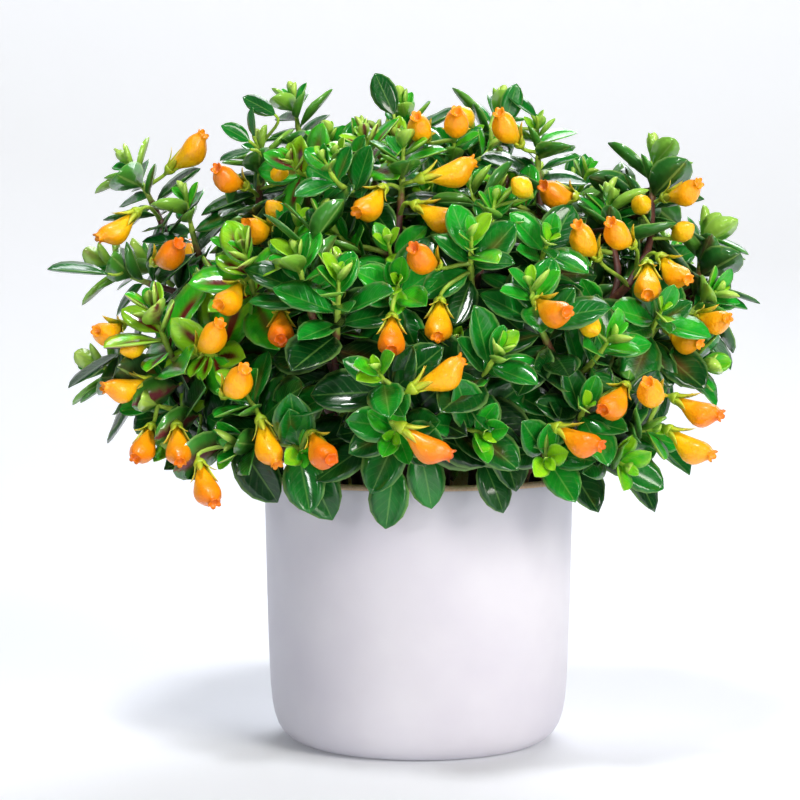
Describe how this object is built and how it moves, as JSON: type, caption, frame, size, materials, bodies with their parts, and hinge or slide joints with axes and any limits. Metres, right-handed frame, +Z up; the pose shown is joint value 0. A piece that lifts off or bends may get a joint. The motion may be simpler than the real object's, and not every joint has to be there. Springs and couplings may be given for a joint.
{
  "type": "potted goldfish plant",
  "caption": "Bushy flowering house plant with glossy pointed leaves in opposite pairs and pouched orange flowers in green calyces, growing in soil in a plain round tapered pot.",
  "frame": {"origin": "centre of the pot's flat base, on the surface it stands on", "axes": "+Z up along the pot's axis, -Y the front"},
  "size_m": [0.2782, 0.2545, 0.2814],
  "materials": {
    "pot": "satin white glaze with a faint lilac cast, bare warm clay on the lip",
    "soil": "dark peat potting soil",
    "foliage": "thick glossy green leaves with a waxy skin, brown woody stems",
    "corolla": "waxy orange petals"
  },
  "bodies": {
    "root": {"pot": "pot", "soil": "soil", "stem_01": "foliage", "stem_02": "foliage", "stem_03": "foliage", "stem_04": "foliage", "stem_05": "foliage", "stem_06": "foliage", "stem_07": "foliage", "stem_08": "foliage", "stem_09": "foliage", "stem_10": "foliage", "stem_11": "foliage", "stem_12": "foliage", "stem_13": "foliage", "stem_14": "foliage", "stem_15": "foliage", "stem_16": "foliage", "stem_17": "foliage", "stem_18": "foliage", "bloom_01": "corolla", "bloom_02": "corolla", "bloom_03": "corolla", "bloom_04": "corolla", "bloom_05": "corolla", "bloom_06": "corolla", "bloom_07": "corolla", "bloom_08": "corolla", "bloom_09": "corolla", "bloom_10": "corolla", "bloom_11": "corolla", "bloom_12": "corolla", "bloom_13": "corolla", "bloom_14": "corolla", "bloom_15": "corolla", "bloom_16": "corolla", "bloom_17": "corolla", "bloom_18": "corolla", "bloom_19": "corolla", "bloom_20": "corolla", "bloom_21": "corolla", "bloom_22": "corolla", "bloom_23": "corolla", "bloom_24": "corolla", "bloom_25": "corolla", "bloom_26": "corolla", "bloom_27": "corolla", "bloom_28": "corolla", "bloom_29": "corolla", "bloom_30": "corolla", "bloom_31": "corolla", "bloom_32": "corolla", "bloom_33": "corolla", "bloom_34": "corolla", "bloom_35": "corolla", "bloom_36": "corolla", "bloom_37": "corolla", "bloom_38": "corolla", "bloom_39": "corolla", "bloom_40": "corolla"}
  },
  "joints": []
}
